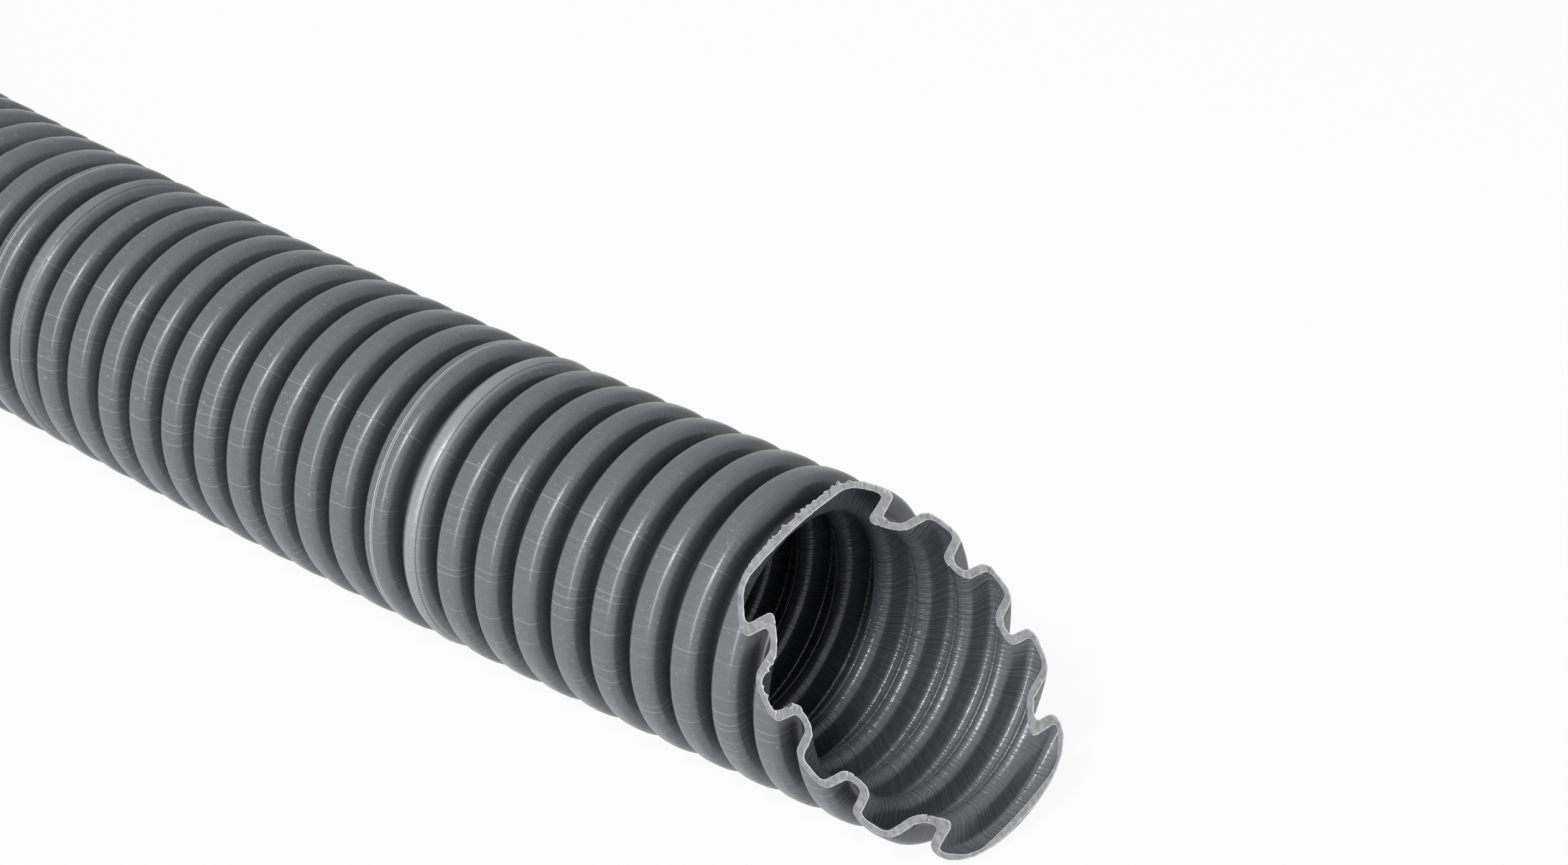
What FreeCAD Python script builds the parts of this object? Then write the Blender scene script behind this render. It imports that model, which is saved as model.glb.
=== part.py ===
import FreeCAD, Part
import Sketcher
import os

# Corrugated conduit: one metre of ringed plastic tube. It lies on the floor, bent near its slanted
# end by the set of its coil, and straight from there to its square end.
# Lengths are in mm. +X runs along the straight stretch towards the slanted end, +Y to the inside of
# the bend, +Z up from the floor.

doc = FreeCAD.newDocument("corrugated_conduit")
sheet = doc.addObject("Spreadsheet::Sheet", "sizes")

driving = (
    ("outer_diameter", 32.0, "over the crests"),
    ("conduit_length", 1000.0, "along the tube, to the nearest whole mould block"),
    ("ring_pitch", 5.22, "from crest to crest"),
    ("wall", 0.72, "across the wall, in crests, flanks and grooves"),
    ("groove_depth", 2.9, "from crest down to the outer groove"),
    ("groove_floor", 1.1, "flat width at the bottom of the outer groove"),
    ("crest_width", 3.0, "width of a crest between its two flanks"),
    ("crest_bevel", 0.4, "bevel on both shoulders of a crest, for its small radius"),
    ("block_rings", 12, "rings that one mould block forms"),
    ("bent_blocks", 4, "mould blocks that keep the bend, counted from the slanted end"),
    ("bend_radius", 1117.0, "of the centre line in the bent stretch"),
    ("cut_slope", 40.5, "slanted end: degrees that it leans from a square cut"),
    ("cut_turn", 76.2, "slanted end: degrees from level, on the outside of the bend, up to its short side"),
    ("cut_distance", 10.8, "slanted end: its centre, from the middle of the first ring"),
)
derived = (
    ("crest_radius", "=outer_diameter / 2", "outer radius on a crest"),
    ("floor_radius", "=crest_radius - groove_depth", "outer radius in a groove"),
    ("rib_radius", "=floor_radius - wall", "clear radius inside"),
    ("flank_run", "=(ring_pitch - groove_floor - crest_width) / 2", "how far a flank slopes"),
    ("flank_tilt", "=flank_run / groove_depth", "how far it slopes for each mm of height"),
    ("flank_wall", "=wall * sqrt(1 + flank_tilt^2)", "wall of a flank, measured along the tube"),
    ("inner_half", "=crest_width / 2 - flank_wall", "inner flank at crest height, from the middle"),
    ("blank_half", "=ring_pitch / 2 + groove_floor / 4", "half a ring before its ends are trimmed"),
    ("ring_angle", "=ring_pitch / bend_radius * 180 / pi", "degrees of bend in each ring"),
    ("block_angle", "=block_rings * ring_angle", "degrees of bend in each mould block"),
    ("block_length", "=block_rings * ring_pitch", "length of each mould block"),
    ("straight_blocks", "=round(conduit_length / block_length) - bent_blocks", "mould blocks in the straight stretch"),
)
for row, (name, value, note) in enumerate(driving + derived, start=1):
    sheet.set("A%d" % row, name)
    sheet.set("B%d" % row, value if isinstance(value, str) else "%g" % value)
    sheet.set("C%d" % row, note)
    sheet.setAlias("B%d" % row, name)
doc.recompute()


def own_plane(body, role):
    return next(item for item in body.Origin.OriginFeatures if item.Role == role)


def add_sketch(body, name):
    sketch = body.newObject("Sketcher::SketchObject", name)
    sketch.AttachmentSupport = (own_plane(body, "XY_Plane"), [""])
    sketch.MapMode = "FlatFace"
    return sketch


def add_feature(body, kind, name, profile=None):
    feature = body.newObject(kind, name)
    feature.Refine = False
    if profile:
        feature.Profile = profile
    body.Tip = feature
    return feature


def draw(sketch, rules):
    """Draw a closed outline through corners whose places are rules on the sheet of sizes."""
    corners = [tuple(float(sketch.evalExpression(rule)) for rule in pair) for pair in rules]
    points = [FreeCAD.Vector(x, y, 0) for x, y in corners]
    first = sketch.GeometryCount
    ends = points[1:] + points[:1]
    sketch.addGeometry([Part.LineSegment(p, q) for p, q in zip(points, ends)], False)
    for i, pair in enumerate(rules):
        after = first + (i + 1) % len(rules)
        sketch.addConstraint(Sketcher.Constraint("Coincident", first + i, 2, after, 1))
        for kind, rule, value in zip(("DistanceX", "DistanceY"), pair, corners[i]):
            place = sketch.addConstraint(Sketcher.Constraint(kind, -1, 1, first + i, 1, value))
            sketch.setExpression("Constraints[%d]" % place, rule)


def mirrored(rules):
    return tuple((x, "-(%s)" % y) for x, y in reversed(rules))


# Half of a ring's section, in the plane of the bend and measured from its centre. It goes from the
# crest down a flank to the outer groove, and back inside along the rib and the hollow of the crest.
half_section = (
    ("sizes.bend_radius + sizes.crest_radius", "sizes.crest_width / 2 - sizes.crest_bevel"),
    (
        "sizes.bend_radius + sizes.crest_radius - sizes.crest_bevel",
        "sizes.crest_width / 2 + sizes.crest_bevel * sizes.flank_tilt",
    ),
    (
        "sizes.bend_radius + sizes.floor_radius",
        "sizes.crest_width / 2 + sizes.groove_depth * sizes.flank_tilt",
    ),
    ("sizes.bend_radius + sizes.floor_radius", "sizes.blank_half"),
    ("sizes.bend_radius + sizes.rib_radius", "sizes.blank_half"),
    (
        "sizes.bend_radius + sizes.rib_radius",
        "sizes.inner_half + (sizes.groove_depth + sizes.wall) * sizes.flank_tilt",
    ),
    (
        "sizes.bend_radius + sizes.crest_radius - sizes.wall",
        "sizes.inner_half + sizes.wall * sizes.flank_tilt",
    ),
)

# The near end of every ring is trimmed in the middle of its groove, on a plane through the centre of
# the bend. A bent ring's far end mirrors that. A straight ring's far end is parallel to its near end.
inside = "(sizes.bend_radius - sizes.outer_diameter)"
outside = "(sizes.bend_radius + sizes.outer_diameter)"
mitre = "%s * tan(sizes.ring_angle / 2)"
near_waste = (
    (inside, mitre % inside),
    (outside, mitre % outside),
    (outside, "2 * sizes.ring_pitch"),
    (inside, "2 * sizes.ring_pitch"),
)
parallel_waste = (
    (inside, mitre % inside + " - sizes.ring_pitch"),
    (outside, mitre % outside + " - sizes.ring_pitch"),
    (outside, "-2 * sizes.ring_pitch"),
    (inside, "-2 * sizes.ring_pitch"),
)


def add_ring(body, stem, far_waste):
    """Turn one ring round the tube's axis and trim both its ends."""
    section = add_sketch(body, stem + "_section")
    draw(section, half_section + mirrored(half_section))
    axis = section.addGeometry(
        Part.LineSegment(
            FreeCAD.Vector(float(sheet.bend_radius), 0, 0),
            FreeCAD.Vector(float(sheet.bend_radius), float(sheet.ring_pitch), 0),
        ),
        True,
    )
    section.addConstraint(Sketcher.Constraint("PointOnObject", axis, 1, -1))
    section.addConstraint(Sketcher.Constraint("Vertical", axis))
    for kind, end, rule in (("DistanceX", 1, "sizes.bend_radius"), ("DistanceY", 2, "sizes.ring_pitch")):
        held = Sketcher.Constraint(kind, -1, 1, axis, end, float(section.evalExpression(rule)))
        section.setExpression("Constraints[%d]" % section.addConstraint(held), rule)
    waste = add_sketch(body, stem + "_waste")
    draw(waste, near_waste)
    draw(waste, far_waste)
    doc.recompute()
    blank = add_feature(body, "PartDesign::Revolution", stem + "_blank", section)
    blank.ReferenceAxis = (section, ["Axis0"])
    blank.Angle = 360
    doc.recompute()
    ring = add_feature(body, "PartDesign::Pocket", stem, waste)
    ring.SideType = "Symmetric"
    ring.setExpression("Length", "2 * sizes.outer_diameter")
    doc.recompute()
    return [section, waste]


def repeat(body, kind, name, count, step):
    """Repeat all that the body holds so far, away from the slanted end."""
    pattern = add_feature(body, kind, name)
    pattern.TransformMode = "Whole shape"
    if kind.endswith("PolarPattern"):
        pattern.Axis = (own_plane(body, "Z_Axis"), [""])
    else:
        pattern.Direction = (own_plane(body, "Y_Axis"), [""])
    pattern.Mode = "Spacing"
    pattern.Reversed = True
    pattern.setExpression("Offset", step)
    pattern.setExpression("Occurrences", count)
    doc.recompute()


# The bent stretch. Its mitred rings are laid round the bend, and so meet face to face. The first
# one is at the slanted end. A knife cuts that end off on one plane.
bent = doc.addObject("PartDesign::Body", "bent_stretch")
sketches = add_ring(bent, "bent_ring", mirrored(near_waste))
repeat(bent, "PartDesign::PolarPattern", "bent_block", "sizes.block_rings", "sizes.ring_angle")
repeat(bent, "PartDesign::PolarPattern", "bend", "sizes.bent_blocks", "sizes.block_angle")
knife = add_sketch(bent, "knife_cut")
blade = knife.addGeometry(
    Part.Circle(FreeCAD.Vector(0, 0, 0), FreeCAD.Vector(0, 0, 1), 1.5 * float(sheet.outer_diameter)), False
)
knife.addConstraint(Sketcher.Constraint("Coincident", blade, 3, -1, 1))
width = knife.addConstraint(Sketcher.Constraint("Radius", blade, 1.5 * float(sheet.outer_diameter)))
knife.setExpression("Constraints[%d]" % width, "1.5 * sizes.outer_diameter")
knife.setExpression(
    "AttachmentOffset",
    "placement(vector(0; 0; 0);"
    " rotation(vector(0; 0; 1); -sizes.cut_distance / sizes.bend_radius * 180 / pi))"
    " * placement(vector(sizes.bend_radius; 0; 0);"
    " rotation(vector(sin(sizes.cut_turn); 0; -cos(sizes.cut_turn)); sizes.cut_slope)"
    " * rotation(vector(1; 0; 0); -90))",
)
doc.recompute()
slanted = add_feature(bent, "PartDesign::Pocket", "slanted_end", knife)
slanted.Reversed = True
slanted.setExpression("Length", "2 * sizes.outer_diameter")
doc.recompute()
sketches.append(knife)

# The straight stretch goes on from the bend's last ring, in the direction that the bend has there.
straight = doc.addObject("PartDesign::Body", "straight_stretch")
sketches += add_ring(straight, "straight_ring", parallel_waste)
repeat(straight, "PartDesign::LinearPattern", "straight_block", "sizes.block_rings", "sizes.ring_pitch")
repeat(straight, "PartDesign::LinearPattern", "run", "sizes.straight_blocks", "sizes.block_length")
straight.setExpression(
    "Placement",
    "placement(vector(0; 0; 0); rotation(vector(0; 0; 1); -sizes.bent_blocks * sizes.block_angle))",
)
doc.recompute()

# Both stretches are one piece of stock. It is turned until the straight stretch lies along X, and
# laid on the floor with the middle of its overall box over the origin.
conduit = doc.addObject("Part::MultiFuse", "conduit")
conduit.Label = "corrugated_conduit"
conduit.Shapes = [bent, straight]
conduit.Refine = False
turn = float(sheet.bent_blocks) * float(sheet.block_angle) - 90
conduit.Placement = FreeCAD.Placement(FreeCAD.Vector(0, 0, 0), FreeCAD.Rotation(FreeCAD.Vector(0, 0, 1), turn))
doc.recompute()
box = conduit.Shape.optimalBoundingBox(False, False)
conduit.Placement.Base = FreeCAD.Vector(-box.Center.x, -box.Center.y, -box.ZMin)
doc.recompute()

for item in doc.Objects:
    if "Invalid" in item.State or "Error" in item.State:
        raise RuntimeError("%s: %s" % (item.Name, item.State))
for sketch in sketches:
    if not sketch.FullyConstrained:
        raise RuntimeError("%s is not held by its sizes" % sketch.Name)
shape = conduit.Shape
if shape.isNull() or not shape.isValid() or len(shape.Solids) != 1:
    raise RuntimeError("the conduit is not one sound solid")

os.makedirs("parts", exist_ok=True)
shape.exportStep("parts/%s.step" % conduit.Label)
print("faces", len(shape.Faces), "volume", round(shape.Volume, 1), "box", shape.optimalBoundingBox(False, False))
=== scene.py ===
import math

import bmesh
import bpy
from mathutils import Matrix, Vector, noise


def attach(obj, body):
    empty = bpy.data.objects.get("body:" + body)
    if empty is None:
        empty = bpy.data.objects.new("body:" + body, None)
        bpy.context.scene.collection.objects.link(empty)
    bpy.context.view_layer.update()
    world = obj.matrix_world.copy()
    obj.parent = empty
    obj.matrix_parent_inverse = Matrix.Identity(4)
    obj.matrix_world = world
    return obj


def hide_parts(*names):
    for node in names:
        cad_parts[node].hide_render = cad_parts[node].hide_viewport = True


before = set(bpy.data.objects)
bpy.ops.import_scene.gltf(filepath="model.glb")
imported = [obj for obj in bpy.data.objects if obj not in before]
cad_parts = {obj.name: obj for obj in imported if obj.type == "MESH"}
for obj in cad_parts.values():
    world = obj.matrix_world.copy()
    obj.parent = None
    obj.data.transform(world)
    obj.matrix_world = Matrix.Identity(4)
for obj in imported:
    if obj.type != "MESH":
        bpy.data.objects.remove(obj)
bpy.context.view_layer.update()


# The cut end of the conduit
# The first rings of the tube, from the long slanting knife cut to past the picture's edge. It is
# grey polypropylene, extruded and then blown into the blocks of a running mould, so its wall is
# one skin that goes out over each ring and in under each groove.

# Sizes are in millimetres until the tube is laid in place.
ring_pitch = 5.22
crest_radius = 16.0
groove_radius = 13.1
under_crest_radius = 15.4
rib_radius = 12.38
block_rings = 12
end_rings = 27
stock_rings = 192
bend_rings = 48
bend_radius = 1117.0
bend_middle = Vector((249.30254, 1103.89139, crest_radius))

# A ring's corners, by their distance from the middle of its crest, and how far back each is rounded.
shoulder_place = 1.5
shoulder_drop = 0.07
shoulder_round = 0.8
joint_shoulder_drop = 0.28
joint_shoulder_round = 1.2
foot_place = 2.06
foot_round = 0.5
hollow_place = 0.98
hollow_round = 0.5
rib_place = 1.54
rib_near_round = 0.95
rib_far_round = 0.85
rib_far_rise = 0.02
crease_place = -2.24
crease_size = 0.1

outside_slot, bore_slot, cut_slot = 0, 1, 2


def draw_ring_line(bm, corners, middle):
    """One line of a ring from groove to groove, as wire. A corner has its place along the tube, its
    radius, and either None or how far back it is rounded and in how many segments."""
    wire = [bm.verts.new((x + middle, 0.0, radius)) for x, radius, _ in corners]
    for pair in zip(wire, wire[1:]):
        bm.edges.new(pair)
    for corner, (_, _, rounding) in zip(wire, corners):
        if rounding:
            bmesh.ops.bevel(bm, geom=[corner], offset=rounding[0], offset_type="OFFSET",
                            segments=rounding[1], profile=0.5, affect="VERTICES", material=-1)


def ring_corners(number, fine):
    """The outer and the inner line of a ring. The shoulders are round, and rounder on the first ring
    of a mould block, where one block closes on the next. In the bore, each rib is round towards the
    slanted end, and past its middle it has a crease and a slightly tighter round."""
    half = ring_pitch / 2
    at_joint = number % block_rings == 0
    shoulder_radius = crest_radius - (joint_shoulder_drop if at_joint else shoulder_drop)
    setback = joint_shoulder_round if at_joint else shoulder_round
    foot = (foot_round, 3 if fine else 1)
    outer = [(-half, groove_radius, None), (-foot_place, groove_radius, foot),
             (-shoulder_place, shoulder_radius, (setback, 5 if fine else 2)),
             (0.0, crest_radius, None),
             (shoulder_place, shoulder_radius, (setback, 4 if fine else 2)),
             (foot_place, groove_radius, foot), (half, groove_radius, None)]
    hollow = (hollow_round, 3) if fine else None
    inner = [(-half, rib_radius, None)]
    if fine:
        inner += [(crease_place - crease_size, rib_radius, None),
                  (crease_place, rib_radius + crease_size, None),
                  (crease_place + crease_size, rib_radius, None)]
    inner += [(-rib_place, rib_radius - rib_far_rise, (rib_far_round, 4) if fine else None),
              (-hollow_place, under_crest_radius, hollow), (hollow_place, under_crest_radius, hollow),
              (rib_place, rib_radius, (rib_near_round, 4) if fine else None),
              (half, rib_radius, None)]
    return outer, inner


def make_stretch(first, count, fine, steps):
    """A closed length of straight tube, as a bmesh, with its axis on X and ring 0 at the origin."""
    merge_gap = 0.001
    bm = bmesh.new()
    for number in range(first, first + count):
        for corners in ring_corners(number, fine):
            draw_ring_line(bm, corners, number * ring_pitch)
    bmesh.ops.remove_doubles(bm, verts=bm.verts, dist=merge_gap)
    for end in ((first - 0.5) * ring_pitch, (first + count - 0.5) * ring_pitch):
        bm.edges.new([v for v in bm.verts if abs(v.co.x - end) < merge_gap])
    bmesh.ops.spin(bm, geom=bm.verts[:] + bm.edges[:], cent=(0, 0, 0), axis=(1, 0, 0), dvec=(0, 0, 0),
                   angle=math.tau, steps=steps, use_merge=True, use_duplicate=False)
    bmesh.ops.recalc_face_normals(bm, faces=bm.faces)
    unbent = bm.verts.layers.float_vector.new("unbent")
    for v in bm.verts:
        v[unbent] = v.co
    for f in bm.faces:
        f.smooth = True
        middle = f.calc_center_median()
        if abs(f.normal.x) > 0.999:  # the flat ends, which look along the tube
            f.material_index = cut_slot
        elif f.normal.dot(Vector((0.0, middle.y, middle.z))) < 0:
            f.material_index = bore_slot
        else:
            f.material_index = outside_slot
    sharp = math.radians(60)
    for e in bm.edges:
        e.smooth = e.calc_face_angle(0.0) < sharp
    return bm


def lay_in_place(bm):
    """Bends the straight tube as the stock lies on the floor, and takes it to metres."""
    bend_length = bend_rings * ring_pitch
    for v in bm.verts:
        x, y, z = v.co
        turn = max(bend_length - x, 0.0) / bend_radius
        past_bend = max(x - bend_length, 0.0)
        out = bend_radius + y
        v.co = (bend_middle + Vector((out * math.sin(turn) - past_bend, -out * math.cos(turn), z))) / 1000


# Two more rings stand past the tip, for the knife to cut away.
spare_rings = 2
bm = make_stretch(first=-spare_rings, count=end_rings + spare_rings, fine=True, steps=88)
lay_in_place(bm)

# The knife went through at 40.5 degrees to a square cut, so the wall shows as a wavy band. The turn
# is the direction that the cut faces, from the outside of the bend upwards, and the distance is
# measured along the axis from the middle of ring 0.
cut_slope = math.radians(40.5)
cut_turn = math.radians(76.2)
cut_distance = 10.8
turn = (bend_rings * ring_pitch - cut_distance) / bend_radius
to_far_end = Vector((-math.cos(turn), -math.sin(turn), 0.0))
outwards = Vector((math.sin(turn), -math.cos(turn), 0.0))
upwards = Vector((0.0, 0.0, 1.0))
cut_middle = (bend_middle + outwards * bend_radius) / 1000
cut_facing = (-math.cos(cut_slope) * to_far_end + math.sin(cut_slope)
              * (math.cos(cut_turn) * outwards + math.sin(cut_turn) * upwards))
bmesh.ops.bisect_plane(bm, geom=bm.verts[:] + bm.edges[:] + bm.faces[:], dist=1e-7,
                       plane_co=cut_middle, plane_no=cut_facing, clear_outer=True)
rim = [e for e in bm.edges if e.is_boundary]
bmesh.ops.subdivide_edges(bm, edges=rim, cuts=3)
rim = [e for e in bm.edges if e.is_boundary]
bmesh.ops.triangulate(bm, faces=[f for f in bm.faces if len(f.verts) > 4])

# The blade tore the rim's skin: all round in small bites, and in flakes over the top, and in the bore
# next to the outside of the bend. A flake goes a little forward, past the cut, and further out from
# the skin. From here on, sizes are in metres.
bite_size = 0.00005
bites_per_mm = 1.7
flake_size = 0.0008
flakes_per_mm = 2.3
flake_shift = Vector((5, 0, 0))
flake_forward = 0.35
flake_out = 0.8


def torn_share(angle, middle, reach, most):
    """How much of the rim came off in flakes, at an angle in degrees from the outside of the bend."""
    return max(0.0, most - abs(angle - middle) / reach)


unbent = bm.verts.layers.float_vector["unbent"]
burr = bm.verts.layers.float.new("burr")
skin = set(bm.faces)
for v in {v for e in rim for v in e.verts}:
    v[burr] = 1.0
    place = Vector(v[unbent])
    angle = math.degrees(math.atan2(place.z, place.y))
    if any(f.material_index == outside_slot for f in v.link_faces):
        torn = torn_share(angle, middle=84, reach=42, most=1.0)
    else:
        torn = torn_share(angle, middle=12, reach=10, most=1.1)
    bite = noise.noise(place * bites_per_mm) * bite_size
    lifted = max(0.0, noise.noise(place * flakes_per_mm + flake_shift) + 0.1)
    flake = lifted * flake_size * min(torn * 2, 1)
    v.co += cut_facing * (bite + flake * flake_forward) + v.normal * (bite + flake * flake_out)

# The cut's face, with a narrow border that rises to the torn rim.
border_width = 0.00016
border_rise = 0.00004
bmesh.ops.triangle_fill(bm, edges=rim, use_beauty=True, normal=cut_facing)
cut_faces = [f for f in bm.faces if f not in skin]
border = set(bmesh.ops.inset_region(bm, faces=cut_faces, use_boundary=True, use_even_offset=False,
                                    thickness=border_width, depth=-border_rise)["faces"])
for f in border.union(cut_faces):
    f.material_index = cut_slot
    f.smooth = f in border
for v in {v for f in cut_faces for v in f.verts}:
    v[burr] = 0.0
for e in rim:
    e.smooth = False
bmesh.ops.recalc_face_normals(bm, faces=bm.faces)

mesh = bpy.data.meshes.new("cut_end")
bm.to_mesh(mesh)
bm.free()
cut_end = bpy.data.objects.new("cut_end", mesh)
bpy.context.scene.collection.objects.link(cut_end)


def put(tree, kind, values=(), **settings):
    """A node with its settings, and with its first inputs set or linked. Gives its first output."""
    node = tree.nodes.new(kind)
    for name, setting in settings.items():
        setattr(node, name, setting)
    for socket, value in zip(node.inputs, values):
        if isinstance(value, bpy.types.NodeSocket):
            tree.links.new(value, socket)
        elif value is not None:
            socket.default_value = value
    return node.outputs[0]


def sums(tree, operation, *values):
    """One step of arithmetic."""
    return put(tree, "ShaderNodeMath", values, operation=operation)


def fade(tree, value, low, high, to_low=0.0, to_high=1.0):
    """Goes smoothly from one number to another while a value goes from low to high."""
    return put(tree, "ShaderNodeMapRange", (value, low, high, to_low, to_high),
               interpolation_type="SMOOTHSTEP")


def vector(tree, x, y, z):
    return put(tree, "ShaderNodeCombineXYZ", (x, y, z))


def clouds(tree, place, scale, detail, roughness):
    """Soft noise, mostly between 0.3 and 0.7."""
    return put(tree, "ShaderNodeTexNoise", (place, None, scale, detail, roughness))


def chance(tree, x, y):
    """A number from 0 to 1, drawn for each pair of whole numbers."""
    node = tree.nodes.new("ShaderNodeTexWhiteNoise")
    tree.links.new(vector(tree, x, y, 0.0), node.inputs["Vector"])
    return node.outputs["Value"]


def blend(tree, mask, plain, marked):
    """A colour between two others."""
    node = tree.nodes.new("ShaderNodeMix")
    node.data_type = "RGBA"
    for name, value in (("Factor_Float", mask), ("A_Color", plain), ("B_Color", marked)):
        socket = next(s for s in node.inputs if s.identifier == name)
        if isinstance(value, bpy.types.NodeSocket):
            tree.links.new(value, socket)
        else:
            socket.default_value = value
    return next(s for s in node.outputs if s.identifier == "Result_Color")


# Where a point is on the straight tube, and the fine lines that the die drew along it. The attribute
# gives the place in millimetres: along from ring 0, sideways to the outside of the bend, and up.
lines_per_mm = 9.0
line_drift = 0.09
tube_place = bpy.data.node_groups.new("tube_place", "ShaderNodeTree")
for name in ("Along", "Angle", "Radius", "Ring", "From Crest", "Die Lines", "Bore Lines"):
    tube_place.interface.new_socket(name, in_out="OUTPUT", socket_type="NodeSocketFloat")
attribute = tube_place.nodes.new("ShaderNodeAttribute")
attribute.attribute_type = "GEOMETRY"
attribute.attribute_name = "unbent"
parts = tube_place.nodes.new("ShaderNodeSeparateXYZ")
tube_place.links.new(attribute.outputs["Vector"], parts.inputs[0])
along, sideways, height = parts.outputs
across = vector(tube_place, 0.0, sideways, height)
radius = tube_place.nodes.new("ShaderNodeVectorMath")
radius.operation = "LENGTH"
tube_place.links.new(across, radius.inputs[0])
ring = sums(tube_place, "DIVIDE", along, ring_pitch)
ring = sums(tube_place, "FLOOR", sums(tube_place, "ADD", ring, 0.5))
from_crest = sums(tube_place, "SUBTRACT", along, sums(tube_place, "MULTIPLY", ring, ring_pitch))
direction = put(tube_place, "ShaderNodeVectorMath", (across,), operation="NORMALIZE")
round_tube = tube_place.nodes.new("ShaderNodeVectorMath")
round_tube.operation = "SCALE"
tube_place.links.new(direction, round_tube.inputs[0])
round_tube.inputs["Scale"].default_value = crest_radius * lines_per_mm
drift = vector(tube_place, sums(tube_place, "MULTIPLY", along, line_drift), 0.0, 0.0)
die_place = put(tube_place, "ShaderNodeVectorMath", (round_tube.outputs[0], drift), operation="ADD")
die_lines = clouds(tube_place, die_place, scale=1.0, detail=1.0, roughness=0.5)
bore_lines = clouds(tube_place, die_place, scale=0.42, detail=2.0, roughness=0.6)
exits = tube_place.nodes.new("NodeGroupOutput")
for name, socket in (("Along", along), ("Angle", sums(tube_place, "ARCTAN2", height, sideways)),
                     ("Radius", radius.outputs["Value"]), ("Ring", ring), ("From Crest", from_crest),
                     ("Die Lines", die_lines), ("Bore Lines", bore_lines)):
    tube_place.links.new(socket, exits.inputs[name])


def start_material(name):
    """A material, with its tree and its shader."""
    material = bpy.data.materials.new(name)
    material.use_nodes = True
    return material, material.node_tree, material.node_tree.nodes["Principled BSDF"]


def find_places(tree):
    """The outputs of tube_place in a material."""
    group = tree.nodes.new("ShaderNodeGroup")
    group.node_tree = tube_place
    return group.outputs


def add_relief(tree, shader, height):
    """Relief in millimetres."""
    bump = tree.nodes.new("ShaderNodeBump")
    bump.inputs["Strength"].default_value = 1.0
    bump.inputs["Distance"].default_value = 0.001
    tree.links.new(height, bump.inputs["Height"])
    tree.links.new(bump.outputs["Normal"], shader.inputs["Normal"])


# The outside: satin grey, with the die's lines over every ring, the line where the two mould halves
# close, a pale ring at each block's joint with hairlines on the next ring, and faint crosswise marks.
# The pale ring is partly whitened plastic and partly a painted broad highlight on its rounder crest.
die_dark = (0.116, 0.121, 0.139, 1)
die_light = (0.128, 0.133, 0.153, 1)
whitened_and_sheen = (0.46, 0.46, 0.50, 1)
scuffed = (0.50, 0.50, 0.54, 1)
seam_shade = (0.05, 0.05, 0.06, 1)
groove_shade = (0.022, 0.022, 0.025, 1)
conduit_skin, tree, shader = start_material("conduit_skin")
places = find_places(tree)
shader.inputs["Specular IOR Level"].default_value = 0.6
lines = fade(tree, places["Die Lines"], 0.3, 0.7)
arc = sums(tree, "MULTIPLY", places["Angle"], crest_radius)

# The mould halves close at 45 degrees above the outside of the bend, and opposite.
parting_angle = math.radians(45)
near_line, far_line = (
    sums(tree, "ABSOLUTE", sums(tree, "SUBTRACT", arc, angle * crest_radius))
    for angle in (parting_angle, parting_angle - math.pi))
parting = fade(tree, sums(tree, "MINIMUM", near_line, far_line), 0.03, 0.1, 1.0, 0.0)

# A ring has a mark in each step round the tube, at a place of its own in the step. How strong it is
# goes by chance, so many don't show, and all are fainter towards the top.
mark_gap = 1.25
waver = clouds(tree, vector(tree, sums(tree, "MULTIPLY", places["Along"], 0.25),
                            sums(tree, "MULTIPLY", arc, 0.3), 0.0), scale=1.0, detail=1.0, roughness=0.5)
mark_place = sums(tree, "ADD", sums(tree, "DIVIDE", arc, mark_gap), sums(tree, "MULTIPLY", waver, 0.7))
mark_chance = chance(tree, sums(tree, "FLOOR", mark_place), places["Ring"])
middle_of_mark = fade(tree, mark_chance, 0.0, 1.0, 0.25, 0.75)
from_mark = sums(tree, "SUBTRACT", sums(tree, "FRACT", mark_place), middle_of_mark)
marks = fade(tree, sums(tree, "ABSOLUTE", from_mark), 0.02, 0.08, 1.0, 0.0)
strength_chance = sums(tree, "FRACT", sums(tree, "MULTIPLY", mark_chance, 7.0))
marks = sums(tree, "MULTIPLY", marks, fade(tree, strength_chance, 0.35, 0.9))
marks = sums(tree, "MULTIPLY", marks, fade(tree, places["Angle"], 0.1, 0.9, 1.0, 0.25))

block_place = sums(tree, "FLOORED_MODULO", places["Ring"], float(block_rings))
pale_ring = sums(tree, "LESS_THAN", block_place, 0.5)
hair_ring = sums(tree, "COMPARE", block_place, 1.0, 0.1)


def line_round(tree, places, rings, offset, half_width, soft):
    """A mask for a line round some rings, at an offset from the middle of the crest."""
    away = sums(tree, "ABSOLUTE", sums(tree, "SUBTRACT", places["From Crest"], offset))
    return sums(tree, "MULTIPLY", rings, fade(tree, away, half_width, half_width + soft, 1.0, 0.0))


hairline = line_round(tree, places, hair_ring, offset=0.2, half_width=0.05, soft=0.06)
second_hairline = line_round(tree, places, hair_ring, offset=-0.06, half_width=0.03, soft=0.06)
seam = line_round(tree, places, pale_ring, offset=-0.86, half_width=0.03, soft=0.06)
# Partly painted highlight: the joint ring's pale band is whitened plastic with a broad sheen painted over
# it, stronger on some joints than on others.
whitening_and_sheen = line_round(tree, places, pale_ring, offset=-0.3, half_width=0.65, soft=0.4)
joint_chance = chance(tree, places["Ring"], 3.0)
whitening_and_sheen = sums(tree, "MULTIPLY", whitening_and_sheen, fade(tree, joint_chance, 0.1, 0.9, 0.12, 0.95))
object_place = tree.nodes.new("ShaderNodeTexCoord").outputs["Object"]
specks = fade(tree, clouds(tree, object_place, scale=2600.0, detail=1.0, roughness=0.5), 0.69, 0.74)

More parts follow.
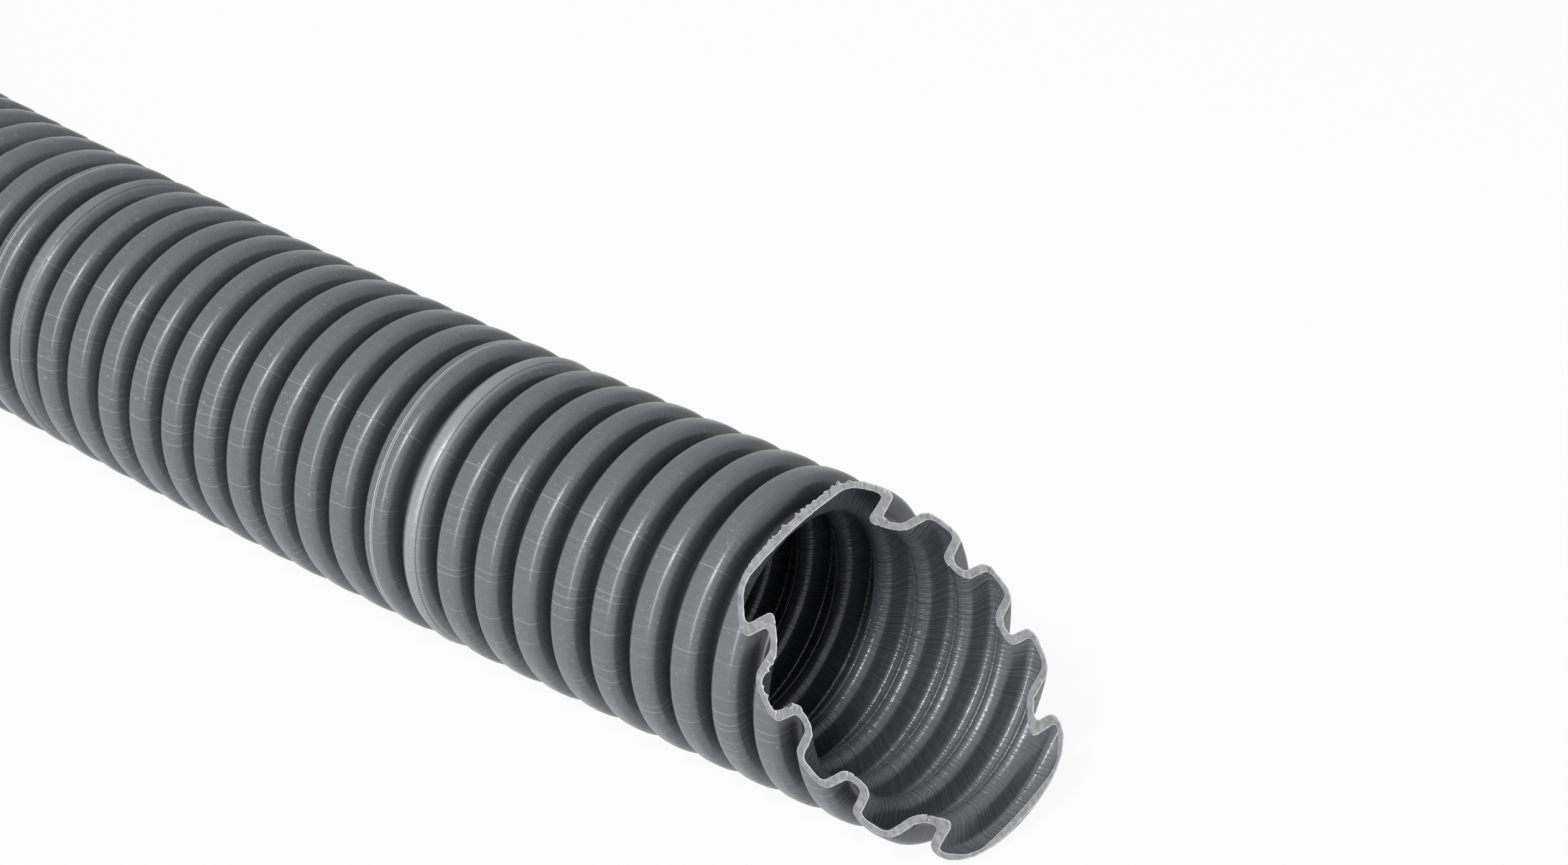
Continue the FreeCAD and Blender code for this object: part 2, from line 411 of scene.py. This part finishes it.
colour = blend(tree, lines, die_dark, die_light)
colour = blend(tree, whitening_and_sheen, colour, whitened_and_sheen)
pale = sums(tree, "MULTIPLY", marks, 0.26)
for mask, strength in ((parting, 0.3), (hairline, 0.9), (second_hairline, 0.6), (specks, 0.3)):
    pale = sums(tree, "MAXIMUM", pale, sums(tree, "MULTIPLY", mask, strength))
colour = blend(tree, pale, colour, scuffed)
colour = blend(tree, sums(tree, "MULTIPLY", seam, 0.6), colour, seam_shade)
# Painted shade: the colour darkens from below the crest down to each groove's floor, where the grooves and
# flanks are shaded.
depth = fade(tree, places["Radius"], groove_radius + 0.6, crest_radius - 0.15, 0.9, 0.0)
colour = blend(tree, depth, colour, groove_shade)
tree.links.new(colour, shader.inputs["Base Color"])
tree.links.new(fade(tree, places["Die Lines"], 0.3, 0.7, 0.25, 0.35), shader.inputs["Roughness"])
relief = sums(tree, "MULTIPLY", lines, 0.0035)
for mask, rise in ((parting, 0.03), (hairline, 0.06), (seam, -0.04), (marks, 0.012)):
    relief = sums(tree, "ADD", relief, sums(tree, "MULTIPLY", mask, rise))
add_relief(tree, shader, relief)

# The bore: a little glossier, with deeper lines from the die, which glitter on the ribs, and painted
# shade along a small crease past the middle of each rib.
bore_dark = (0.095, 0.100, 0.116, 1)
bore_light = (0.140, 0.145, 0.165, 1)
crease_shade = (0.02, 0.02, 0.025, 1)
bore_skin, tree, shader = start_material("bore_skin")
places = find_places(tree)
shader.inputs["Specular IOR Level"].default_value = 0.85
lines = fade(tree, places["Bore Lines"], 0.34, 0.66)
colour = blend(tree, lines, bore_dark, bore_light)
from_crease = sums(tree, "ABSOLUTE", sums(tree, "SUBTRACT", places["From Crest"], crease_place))
on_rib = fade(tree, places["Radius"], rib_radius + 0.22, rib_radius + 0.62, 1.0, 0.0)
crease = sums(tree, "MULTIPLY", fade(tree, from_crease, 0.04, 0.16, 1.0, 0.0), on_rib)
colour = blend(tree, sums(tree, "MULTIPLY", crease, 0.7), colour, crease_shade)
tree.links.new(colour, shader.inputs["Base Color"])
tree.links.new(fade(tree, places["Bore Lines"], 0.3, 0.7, 0.26, 0.18), shader.inputs["Roughness"])
add_relief(tree, shader, sums(tree, "MULTIPLY", lines, 0.032))

# The cut: pale, matt and mottled, and palest along its torn rims.
cut_dark = (0.34, 0.34, 0.355, 1)
cut_light = (0.56, 0.56, 0.575, 1)
torn_light = (0.82, 0.82, 0.835, 1)
cut_edge, tree, shader = start_material("cut_edge")
object_place = tree.nodes.new("ShaderNodeTexCoord").outputs["Object"]
mottle = clouds(tree, object_place, scale=1500.0, detail=4.0, roughness=0.65)
torn = tree.nodes.new("ShaderNodeAttribute")
torn.attribute_name = "burr"
colour = blend(tree, fade(tree, mottle, 0.3, 0.7), cut_dark, cut_light)
colour = blend(tree, fade(tree, torn.outputs["Fac"], 0.1, 0.9, 0.0, 0.85), colour, torn_light)
tree.links.new(colour, shader.inputs["Base Color"])
shader.inputs["Roughness"].default_value = 0.5
add_relief(tree, shader, sums(tree, "MULTIPLY", mottle, 0.12))

for material in (conduit_skin, bore_skin, cut_edge):
    mesh.materials.append(material)
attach(cut_end, "root")
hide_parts("corrugated_conduit")


# The rest of the stock
# The same tube from there on: bent for some way, then straight to its end, cut square through a
# groove. It is the same piece of plastic, drawn in a second length because there are so many rings.

bm = make_stretch(first=end_rings, count=stock_rings - end_rings, fine=False, steps=34)
lay_in_place(bm)
mesh = bpy.data.meshes.new("stock")
bm.to_mesh(mesh)
bm.free()
stock = bpy.data.objects.new("stock", mesh)
bpy.context.scene.collection.objects.link(stock)
for material in (conduit_skin, bore_skin, cut_edge):
    mesh.materials.append(material)
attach(stock, "root")
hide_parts("corrugated_conduit")


# The floor
# A wide sheet of matt white card under the conduit. The camera sees it almost white, with a faint
# soft shadow of the conduit on it.

sheet_size = 6.0
sheet_glow = 0.94
bm = bmesh.new()
bmesh.ops.create_grid(bm, x_segments=1, y_segments=1, size=sheet_size)
mesh = bpy.data.meshes.new("floor")
bm.to_mesh(mesh)
bm.free()
floor = bpy.data.objects.new("floor", mesh)
bpy.context.scene.collection.objects.link(floor)
white_floor, tree, shader = start_material("white_floor")
shader.inputs["Base Color"].default_value = (0.94, 0.94, 0.94, 1)
shader.inputs["Roughness"].default_value = 0.8
shader.inputs["Specular IOR Level"].default_value = 0.0


def seen_rays(tree):
    """1 for rays from the camera, from a gloss or through glass, and 0 for the light's own rays."""
    ways = tree.nodes.new("ShaderNodeLightPath").outputs
    seen = sums(tree, "MAXIMUM", ways["Is Camera Ray"], ways["Is Glossy Ray"])
    return sums(tree, "MAXIMUM", seen, ways["Is Transmission Ray"])


glow = tree.nodes.new("ShaderNodeEmission")
sheet = tree.nodes.new("ShaderNodeMixShader")
tree.links.new(sums(tree, "MULTIPLY", seen_rays(tree), sheet_glow), sheet.inputs["Fac"])
tree.links.new(shader.outputs[0], sheet.inputs[1])
tree.links.new(glow.outputs[0], sheet.inputs[2])
tree.links.new(sheet.outputs[0], tree.nodes["Material Output"].inputs["Surface"])
mesh.materials.append(white_floor)


# The studio
# A dim white world, which shows full white behind the conduit, and three lamps: a weak one overhead,
# a tall narrow one on the left that draws a bright line over each ring, and a small one before the
# mouth that makes the ribs of the bore glint.

world = bpy.data.worlds.new("studio")
bpy.context.scene.world = world
world.use_nodes = True
tree = world.node_tree
fill = tree.nodes["Background"]
fill.inputs["Color"].default_value = (1, 1, 1, 1)
fill.inputs["Strength"].default_value = 0.16
backdrop = tree.nodes.new("ShaderNodeBackground")
either = tree.nodes.new("ShaderNodeMixShader")
tree.links.new(seen_rays(tree), either.inputs["Fac"])
tree.links.new(fill.outputs[0], either.inputs[1])
tree.links.new(backdrop.outputs[0], either.inputs[2])
tree.links.new(either.outputs[0], tree.nodes["World Output"].inputs["Surface"])


def add_lamp(name, place, aim, size, watts):
    data = bpy.data.lights.new(name, "AREA")
    data.shape = "RECTANGLE"
    data.size, data.size_y = size
    data.energy = watts
    lamp = bpy.data.objects.new(name, data)
    bpy.context.scene.collection.objects.link(lamp)
    lamp.location = place
    lamp.rotation_euler = (Vector(aim) - Vector(place)).to_track_quat("-Z", "Y").to_euler()


add_lamp("overhead", place=(0.1, 0.0, 0.95), aim=(0.42, 0.0, 0.0), size=(0.6, 0.6), watts=0.3)
add_lamp("left_of_camera", place=(0.54, -0.50, 0.25), aim=(0.46, 0.0, 0.02), size=(0.07, 0.7), watts=2.3)
add_lamp("before_the_mouth", place=(0.60, -0.30, 0.40), aim=(0.49, 0.0, 0.01), size=(0.06, 0.12), watts=1.2)


# The camera
# Above and in front of the slanted end, on the outside of the bend, looking down along the tube at
# the photo's angle. Everything is in focus.

camera_data = bpy.data.cameras.new("camera")
camera_data.lens = 110.02
camera = bpy.data.objects.new("camera", camera_data)
bpy.context.scene.collection.objects.link(camera)
camera.location = (0.792891, -0.249932, 0.263168)
camera.rotation_euler = (math.radians(61.2933), 0.0, math.radians(51.0143))
bpy.context.scene.camera = camera
bpy.context.scene.view_settings.view_transform = "Standard"
